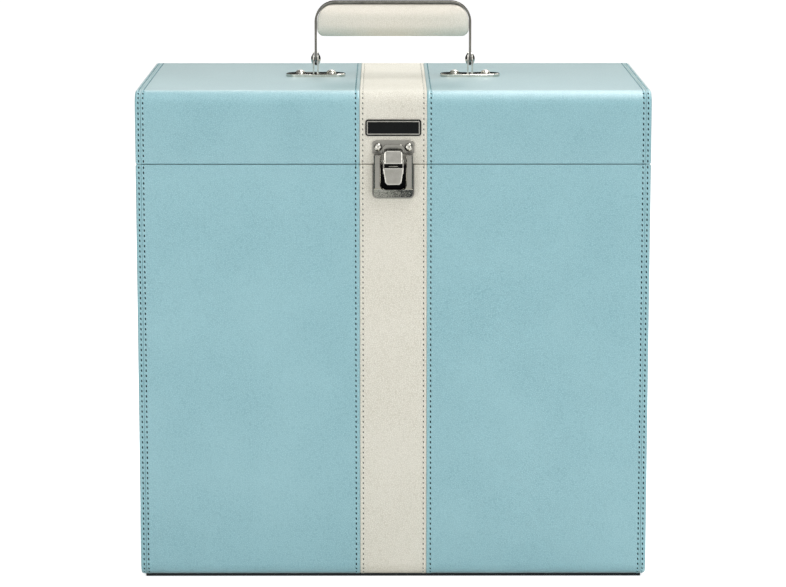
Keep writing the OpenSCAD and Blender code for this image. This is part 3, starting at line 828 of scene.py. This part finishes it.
# %% Shaping the claw and the mouth
def set_back_knuckles(bm):
    """The claw's plate stops short of its pin, and the knuckles round the pin lie behind it."""
    front = min(v.co.y for v in bm.verts)
    plate_low = min(v.co.z for v in bm.verts if v.co.y < front + SAME_LEVEL)
    for v in bm.verts:
        if abs(v.co.z - plate_low) < SAME_LEVEL:
            v.co.z += CLAW_RAISED
        elif v.co.z < plate_low and v.co.y < front + 0.5 * MM:
            v.co.y += KNUCKLE_BACK


def rolled_mouth(bm):
    """The rolled edge between the foot's slope and the mouth of the latch base."""
    rolled = []
    for e in bm.edges:
        if len(e.link_faces) == 2 and all(v.co.y < base_near.y + MOUTH_DEEP for v in e.verts):
            slope = [f for f in e.link_faces if f.normal.z < -0.3 and f.normal.y < -0.3]
            wall = [f for f in e.link_faces if abs(f.normal.y) < 0.1 and f.normal.z > -0.1]
            inside = all(abs(v.co.x) < half_mouth + 0.1 * MM for v in e.verts)
            if slope and wall and inside:
                rolled.append(e)
    bmesh.ops.bevel(bm, geom=rolled, offset=ROLL, offset_type="OFFSET", segments=2,
                    profile=0.5, affect="EDGES", clamp_overlap=True, material=-1)
    print("rolled edges of the mouth:", len(rolled))


# %% Latch
# The latch base is a darker copy of the nickel: painted shade.
latch_base_painted_nickel = nickel_plate("latch_base_nickel_painted_shade_and_reflection", "#b4b2aa", 0.12, FLAT_WAVE, 0.4, 0.9)
# painted dark reflection on the slope under the mouth
paint_slope_reflection(latch_base_painted_nickel, mouth_low, slope_face)
# painted shade in the pocket behind the mouth
paint_pocket_shade(latch_base_painted_nickel, half_mouth, mouth_low, pocket_face)
# painted shade on the claw below its plate
claw_shaded_nickel = nickel_plate("claw_nickel_painted_shade", "#dedcd4", 0.07, FLAT_WAVE, 0.35, 0.85)
paint_shade_below(claw_shaded_nickel, claw_low, "#161717")
lever_nickel = nickel_plate("lever_nickel_plate", "#d0cec6", 0.07, FLAT_WAVE, 0.35, 0.85)
# The keeper is a darker copy of the nickel with more crevice shade: painted shade.
keeper_shaded_nickel = nickel_plate("keeper_nickel_painted_shade", "#b8b6ae", 0.09, 0.06 * MM, 0.55, 0.98)
base_border = (FRONT, 0.8 * MM, 0.8 * MM)
flap_border = (FRONT, 0.65 * MM, 0.25 * MM)
refined("latch_keeper", keeper_shaded_nickel, 0.2 * MM, 2)
refined("latch_base", latch_base_painted_nickel, 0.1 * MM, 2, base_border, rolled_mouth)
refined("latch_claw", claw_shaded_nickel, 0.1 * MM, 2, flap_border, set_back_knuckles)
refined("latch_lever", lever_nickel, 0.1 * MM, 2, flap_border)
print("claw face from", round(claw_low / MM, 1), "mm up")

# %% Handle, hinges, rivets and pins
# The brackets are a brighter copy of the nickel with little crevice shade: painted light.
bracket_lit_nickel = nickel_plate("bracket_nickel_painted_light", "#f4f2ea", 0.07, FLAT_WAVE, 0.1, 0.5)
bracket_border = (UP, 0.55 * MM, 0.35 * MM)
for name in ("handle_bracket_left", "handle_bracket_right"):
    refined(name, bracket_lit_nickel, 0.12 * MM, 2, bracket_border)
# The strap is a darker copy of the nickel: painted shade.
strap_shaded_nickel = nickel_plate("strap_nickel_painted_shade", "#7c7a74", 0.1, FLAT_WAVE, 0.35, 0.85)
refined("handle_strap", strap_shaded_nickel, 0.6 * MM)
for name in ("hinge_left_body_leaf", "hinge_right_body_leaf",
             "hinge_left_lid_leaf", "hinge_right_lid_leaf"):
    refined(name, nickel, 0.25 * MM)
for name in ("latch_keeper_rivets", "latch_base_rivets", "bracket_rivets", "handle_pivot_pins",
             "hinge_pins", "hinge_body_rivets", "hinge_lid_rivets"):
    refined(name, nickel, 0.1 * MM, 1)
# painted shade: the pins in the latch's gap
for name in ("lever_pivot_pins", "claw_pin"):
    refined(name, pin_shade_steel, 0.08 * MM, 1)

# %% [markdown]
# ## The nameplate
# A nameplate is a strip of thin metal, stoved black, with a bright line pressed up round a plain
# field. The plate is one face with its corners rounded, drawn up to its thickness. The line is a
# narrow inset of the same outline, drawn up a little more.

# %% Nameplate
plate_near, plate_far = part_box("nameplate_frame")
PLATE_R = 2.0 * MM
LINE_IN = 1.0 * MM
LINE_W = 0.75 * MM
LINE_PROUD = 0.15 * MM


def plate_outline(margin, radius):
    """The plate's outline as one face on the cover, its corners rounded."""
    bm = bmesh.new()
    x0, x1 = plate_near.x + margin, plate_far.x - margin
    z0, z1 = plate_near.z + margin, plate_far.z - margin
    round_about = ((x0, z0), (x1, z0), (x1, z1), (x0, z1))
    verts = [bm.verts.new((x, plate_far.y, z)) for x, z in round_about]
    bm.faces.new(verts)
    bmesh.ops.bevel(bm, geom=verts, offset=radius, offset_type="OFFSET", segments=6, profile=0.5,
                    affect="VERTICES", clamp_overlap=False, material=-1)
    return bm


def drawn_up(bm, faces, height):
    """The faces extruded towards the front by a height, back faces kept, normals out."""
    grown = bmesh.ops.extrude_face_region(bm, geom=faces, use_keep_orig=True)["geom"]
    moved = [g for g in grown if isinstance(g, bmesh.types.BMVert)]
    bmesh.ops.translate(bm, vec=(0, -height, 0), verts=moved)


thick = plate_far.y - plate_near.y
plate = plate_outline(0, PLATE_R)
drawn_up(plate, list(plate.faces), thick - LINE_PROUD)
soften(finish_piece("nameplate_plate", plate, black_enamel, "lid",
                    ("nameplate_field",)), 0.3 * MM)
line = plate_outline(LINE_IN, PLATE_R - LINE_IN)
bmesh.ops.inset_region(line, faces=list(line.faces), thickness=LINE_W, use_boundary=True,
                       use_even_offset=True)
middle = max(line.faces, key=lambda f: f.calc_area())
bmesh.ops.delete(line, geom=[middle], context="FACES")
drawn_up(line, list(line.faces), thick)
soften(finish_piece("nameplate_line", line, nickel, "lid", ("nameplate_frame",)),
       0.12 * MM, 2)
print("nameplate", round((plate_far.x - plate_near.x) / MM, 1), "mm long")

# %% [markdown]
# ## The padded grip
# The grip is a strip of foam in a leatherette sleeve, held under the strap and sewn along its
# underside. Foam pushes the sleeve out between the places that hold it, so its front is a
# little crowned. That form is simulated: a slightly smaller copy is remeshed, held where the
# strap and the seam hold it, and blown up by a cloth simulation with air pressure and no
# gravity. No point may move further than the real sleeve stretches. The cloth solver suits
# things of about a metre, so the copy is ten times larger while it is simulated.

# %% Padded grip
ZOOM = 10
VOXEL = 1.3 * MM
SWELL = 0.9 * MM
STRAP_HOLD = 4.5 * MM
EDGE_HOLD = 2 * MM
SEAM_HOLD = 1.5 * MM
PRESSURE = 4
FRAMES = 20
grip_near, grip_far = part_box("handle_grip")
grip_middle = (grip_near + grip_far) / 2


def blown_up(mesh, held):
    """The mesh's points after some frames of cloth under pressure, the held ones fixed."""
    scene = bpy.context.scene
    pad = placed("pad_in_the_press", mesh)
    group = pad.vertex_groups.new(name="held")
    group.add(held, 1.0, "REPLACE")
    cloth = pad.modifiers.new("air", "CLOTH")
    cloth.settings.vertex_group_mass = "held"
    cloth.settings.use_pressure = True
    cloth.settings.uniform_pressure_force = PRESSURE
    cloth.settings.effector_weights.gravity = 0
    cloth.point_cache.frame_start = 1
    cloth.point_cache.frame_end = FRAMES
    for number in range(1, FRAMES + 1):
        scene.frame_set(number)
    graph = bpy.context.evaluated_depsgraph_get()
    points = [v.co.copy() for v in pad.evaluated_get(graph).data.vertices]
    scene.frame_set(1)
    bpy.data.objects.remove(pad)
    return points


def padded_grip():
    """The grip's foam form as a bmesh, inside its CAD solid."""
    bm = merged_copy("handle_grip")
    spare = Vector((0.0, SWELL / MM, -0.1)) * MM
    half = (grip_far - grip_near) / 2
    fit = Matrix.Diagonal(((half.x - spare.x) / half.x, (half.y - spare.y) / half.y,
                           (half.z - spare.z) / half.z, 1))
    bm.transform(Matrix.Scale(ZOOM, 4) @ fit @ Matrix.Translation(-grip_middle))
    shell = from_bmesh("grip_form", bm)
    remesh = shell.modifiers.new("voxels", "REMESH")
    remesh.mode = "VOXEL"
    remesh.voxel_size = VOXEL * ZOOM
    graph = bpy.context.evaluated_depsgraph_get()
    even = bpy.data.meshes.new_from_object(shell.evaluated_get(graph))
    bpy.data.objects.remove(shell)
    before = [v.co.copy() for v in even.vertices]
    top, end = max(c.z for c in before), max(c.x for c in before)
    strap, edge, seam = STRAP_HOLD * ZOOM, EDGE_HOLD * ZOOM, SEAM_HOLD * ZOOM
    held = [i for i, c in enumerate(before)
            if (abs(c.y) < strap and (c.z > top - edge or abs(c.x) > end - edge))
            or (abs(c.y) < seam and c.z < 0)]
    after = blown_up(even.copy(), held)
    cap = SWELL * ZOOM
    bm = bmesh.new()
    bm.from_mesh(even)
    bpy.data.meshes.remove(even)
    bm.verts.ensure_lookup_table()
    for v, a, b in zip(bm.verts, before, after):
        move = b - a
        if move.length > cap:
            move = move * (cap / move.length)
        v.co = a + move
    for _ in range(3):
        bmesh.ops.smooth_vert(bm, verts=bm.verts, factor=0.5,
                              use_axis_x=True, use_axis_y=True, use_axis_z=True)
    bm.transform(Matrix.Translation(grip_middle) @ Matrix.Scale(1 / ZOOM, 4))
    return bm


grip = finish_piece("handle_grip_padded", padded_grip(), grip_leatherette, "handle",
                    ("handle_grip",), sharp=math.pi)
round_off = grip.modifiers.new("smooth_sleeve", "SUBSURF")
round_off.levels = 1
round_off.render_levels = 1
print("grip padded, at most", SWELL / MM, "mm of swell")

# %% [markdown]
# ## Floor and light
# The picture is a cut-out on white, so the floor shows white and keeps only the soft shadow. A
# wide soft light from the front and one from high in front give the case its even face. A bright
# one hangs over the lid and a weaker one behind it, a little to the right: the rounded front
# edge mirrors them as a soft band. Bright metal needs something dark to mirror, as in a studio:
# dark cards stand in an arc behind the case and at its sides, where only reflections find them,
# and they draw the black tops of the brackets and the dark sides of the latch. A small light
# stands at each front corner, low down, for the slopes of the claw and the lever to catch.

# %% Floor
FLOOR_HALF = 12
FLOOR_SHOWS = (0.74, 0.74, 0.74, 1)
floor_material, tree, shader = new_material("white_floor")
shader.inputs["Roughness"].default_value = 0.8
shader.inputs["Base Color"].default_value = (0.9, 0.9, 0.9, 1)
path = add(tree, "ShaderNodeLightPath")
tree.links.new(path.outputs["Is Camera Ray"], shader.inputs["Emission Strength"])
shader.inputs["Emission Color"].default_value = FLOOR_SHOWS
bm = bmesh.new()
bmesh.ops.create_grid(bm, x_segments=1, y_segments=1, size=FLOOR_HALF)
floor = from_bmesh("floor", bm, floor_material)
print("floor", 2 * FLOOR_HALF, "m wide")

# %% The dark cards
CARD_R = 3.2
CARD_LOW = 0.3
CARD_HIGH = 1.6
CARD_NEAREST = 0.6
SIDE_CARD = 1.15
SIDE_CARD_CORNERS = ((-0.35, 0), (1.2, 0), (1.2, 1.0), (-0.35, 1.0))
card_material, tree, shader = new_material("dark_card")
shader.inputs["Base Color"].default_value = (0.012, 0.013, 0.014, 1)
shader.inputs["Roughness"].default_value = 0.9
shader.inputs["Specular IOR Level"].default_value = 0.0
bm = bmesh.new()
bmesh.ops.create_cone(bm, cap_ends=False, segments=64, radius1=CARD_R, radius2=CARD_R,
                      depth=CARD_HIGH - CARD_LOW,
                      matrix=Matrix.Translation((0, 0, (CARD_LOW + CARD_HIGH) / 2)))
in_front = [f for f in bm.faces if f.calc_center_median().y < CARD_NEAREST]
bmesh.ops.delete(bm, geom=in_front, context="FACES")
for x in (-SIDE_CARD, SIDE_CARD):
    bm.faces.new([bm.verts.new((x, y, z)) for y, z in SIDE_CARD_CORNERS])
print("dark cards:", len(bm.faces), "faces")
card = from_bmesh("dark_card", bm, card_material)
card.visible_camera = False
card.visible_diffuse = False
card.visible_shadow = False
card.visible_transmission = False

# %% Light
AMBIENT = 0.35
world = bpy.data.worlds.new("studio")
bpy.context.scene.world = world
world.use_nodes = True
tree = world.node_tree
tree.nodes.clear()
path = add(tree, "ShaderNodeLightPath")
level = add(tree, "ShaderNodeMapRange", None,
            {"Value": path.outputs["Is Camera Ray"], "To Min": AMBIENT, "To Max": 1.0})
background = add(tree, "ShaderNodeBackground", None,
                 {"Color": (1, 1, 1, 1), "Strength": level.outputs["Result"]})
add(tree, "ShaderNodeOutputWorld", None, {"Surface": background.outputs["Background"]})


def softbox(name, place, aim, size, power):
    """A rectangular soft light at a place, turned to an aim, unseen by the camera."""
    data = bpy.data.lights.new(name, "AREA")
    data.shape = "RECTANGLE"
    data.size, data.size_y = size
    data.energy = power
    lamp = placed(name, data)
    lamp.location = place
    lamp.rotation_euler = (Vector(aim) - Vector(place)).to_track_quat("-Z", "Y").to_euler()
    lamp.visible_camera = False


softbox("front_softbox", (-0.4, -3.0, 1.0), (0, 0, 0.2), (2.4, 1.6), 7.5)
softbox("high_softbox", (-0.1, -1.25, 1.75), (0, -0.1, 0.35), (2.4, 1.2), 7.5)
softbox("top_softbox", (0.5, 0.0, 1.95), (0.05, -0.1, 0.35), (2.2, 0.8), 29)
softbox("back_softbox", (0.5, 1.3, 1.35), (0.05, -0.1, 0.35), (2.2, 0.8), 10)
softbox("left_softbox", (-0.85, -0.95, 0.42), (0, -0.11, 0.3), (0.5, 0.8), 2.6)
softbox("right_softbox", (0.85, -0.95, 0.42), (0, -0.11, 0.3), (0.5, 0.8), 2.0)

bpy.context.scene.view_settings.view_transform = "Standard"
print("lights:", len(bpy.data.lights))
